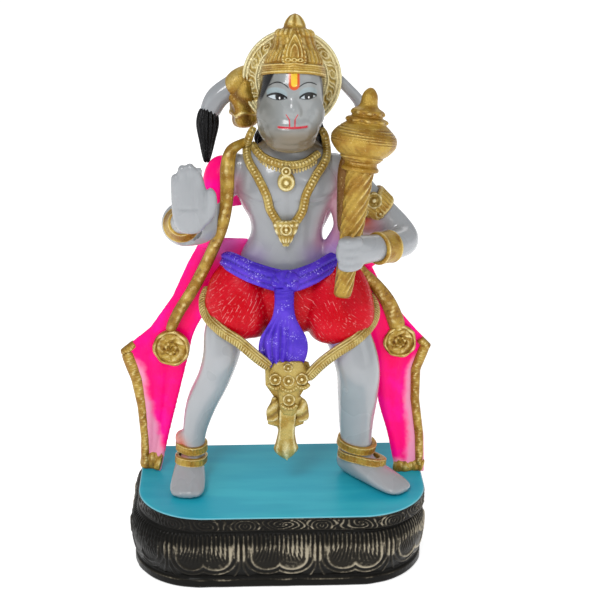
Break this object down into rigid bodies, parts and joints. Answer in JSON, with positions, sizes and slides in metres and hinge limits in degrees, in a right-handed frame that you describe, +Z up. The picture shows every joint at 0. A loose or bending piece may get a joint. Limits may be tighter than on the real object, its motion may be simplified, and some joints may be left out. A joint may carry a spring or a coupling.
{
  "type": "hanuman figure",
  "caption": "Standing monkey-god figure raising an open palm and holding a ribbed mace, with crown, halo, arched tail and flared shawl, on an oblong lotus plinth.",
  "frame": {"origin": "middle of the plinth's flat underside", "axes": "+Z up to the crown, -Y the way the figure faces, +X to the figure's left, where the mace is"},
  "size_m": [0.1738, 0.096, 0.3003],
  "materials": {
    "painted_resin": "glossy white cast resin, painted gold, pink, red and violet",
    "plinth_resin": "near-black antique paint rubbed with silver, under a satin turquoise deck"
  },
  "bodies": {
    "root": {"hanuman_figure": "painted_resin", "lotus_plinth": "plinth_resin"}
  },
  "joints": []
}
